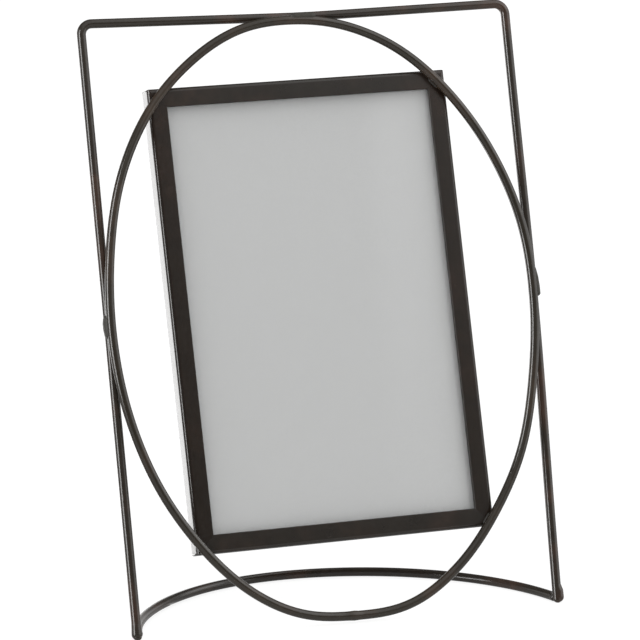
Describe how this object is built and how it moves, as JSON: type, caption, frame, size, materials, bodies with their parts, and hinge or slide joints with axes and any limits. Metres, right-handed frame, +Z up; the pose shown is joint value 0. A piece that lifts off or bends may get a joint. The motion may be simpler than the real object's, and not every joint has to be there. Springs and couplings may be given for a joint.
{
  "type": "wire picture frame",
  "caption": "Upright table picture frame: a shallow metal box in an oval wire ring, leaning back on bent wire legs with a curved wire base.",
  "frame": {"origin": "middle of the footprint, on the table", "axes": "+Z up, +X to the viewer's right, the picture faces -Y and leans back towards +Y"},
  "size_m": [0.1596, 0.0692, 0.2032],
  "materials": {
    "lacquered_wire": "dark bronze lacquer, satin",
    "lacquered_sheet": "dark bronze lacquer, satin",
    "weld": "lacquered weld metal, dull",
    "glass": "clear, polished",
    "insert_card": "plain grey, matt",
    "board": "black paper face, matt",
    "button_steel": "dull spring steel",
    "rivet_steel": "plated, satin"
  },
  "bodies": {
    "frame": {"outer_wire": "lacquered_wire", "ring_wire": "lacquered_wire", "base_arc": "lacquered_wire", "left_side_weld": "weld", "right_side_weld": "weld", "top_weld": "weld", "top_right_weld": "weld", "top_left_weld": "weld", "bottom_left_weld": "weld", "bottom_right_weld": "weld", "left_foot_weld": "weld", "right_foot_weld": "weld", "top_rail": "lacquered_sheet", "bottom_rail": "lacquered_sheet", "left_stile": "lacquered_sheet", "right_stile": "lacquered_sheet", "glass_pane": "glass", "photo_insert": "insert_card", "backing_board": "board", "top_rivet": "rivet_steel", "left_rivet": "rivet_steel", "bottom_rivet": "rivet_steel", "right_rivet": "rivet_steel"},
    "top_button": {"top_turn_button": "button_steel"},
    "left_button": {"left_turn_button": "button_steel"},
    "bottom_button": {"bottom_turn_button": "button_steel"},
    "right_button": {"right_turn_button": "button_steel"}
  },
  "joints": [
    {"name": "top_button_turn", "type": "hinge", "parent": "frame", "child": "top_button", "pos_m": [-0.00236, 0.02246, 0.17058], "axis": [0, -0.9619, 0.2733], "continuous": true},
    {"name": "left_button_turn", "type": "hinge", "parent": "frame", "child": "left_button", "pos_m": [-0.04724, 0.0027, 0.10106], "axis": [0, -0.9619, 0.2733], "continuous": true},
    {"name": "bottom_button_turn", "type": "hinge", "parent": "frame", "child": "bottom_button", "pos_m": [0.00006, -0.01662, 0.03304], "axis": [0, -0.9619, 0.2733], "continuous": true},
    {"name": "right_button_turn", "type": "hinge", "parent": "frame", "child": "right_button", "pos_m": [0.04494, 0.00313, 0.10256], "axis": [0, -0.9619, 0.2733], "continuous": true}
  ]
}
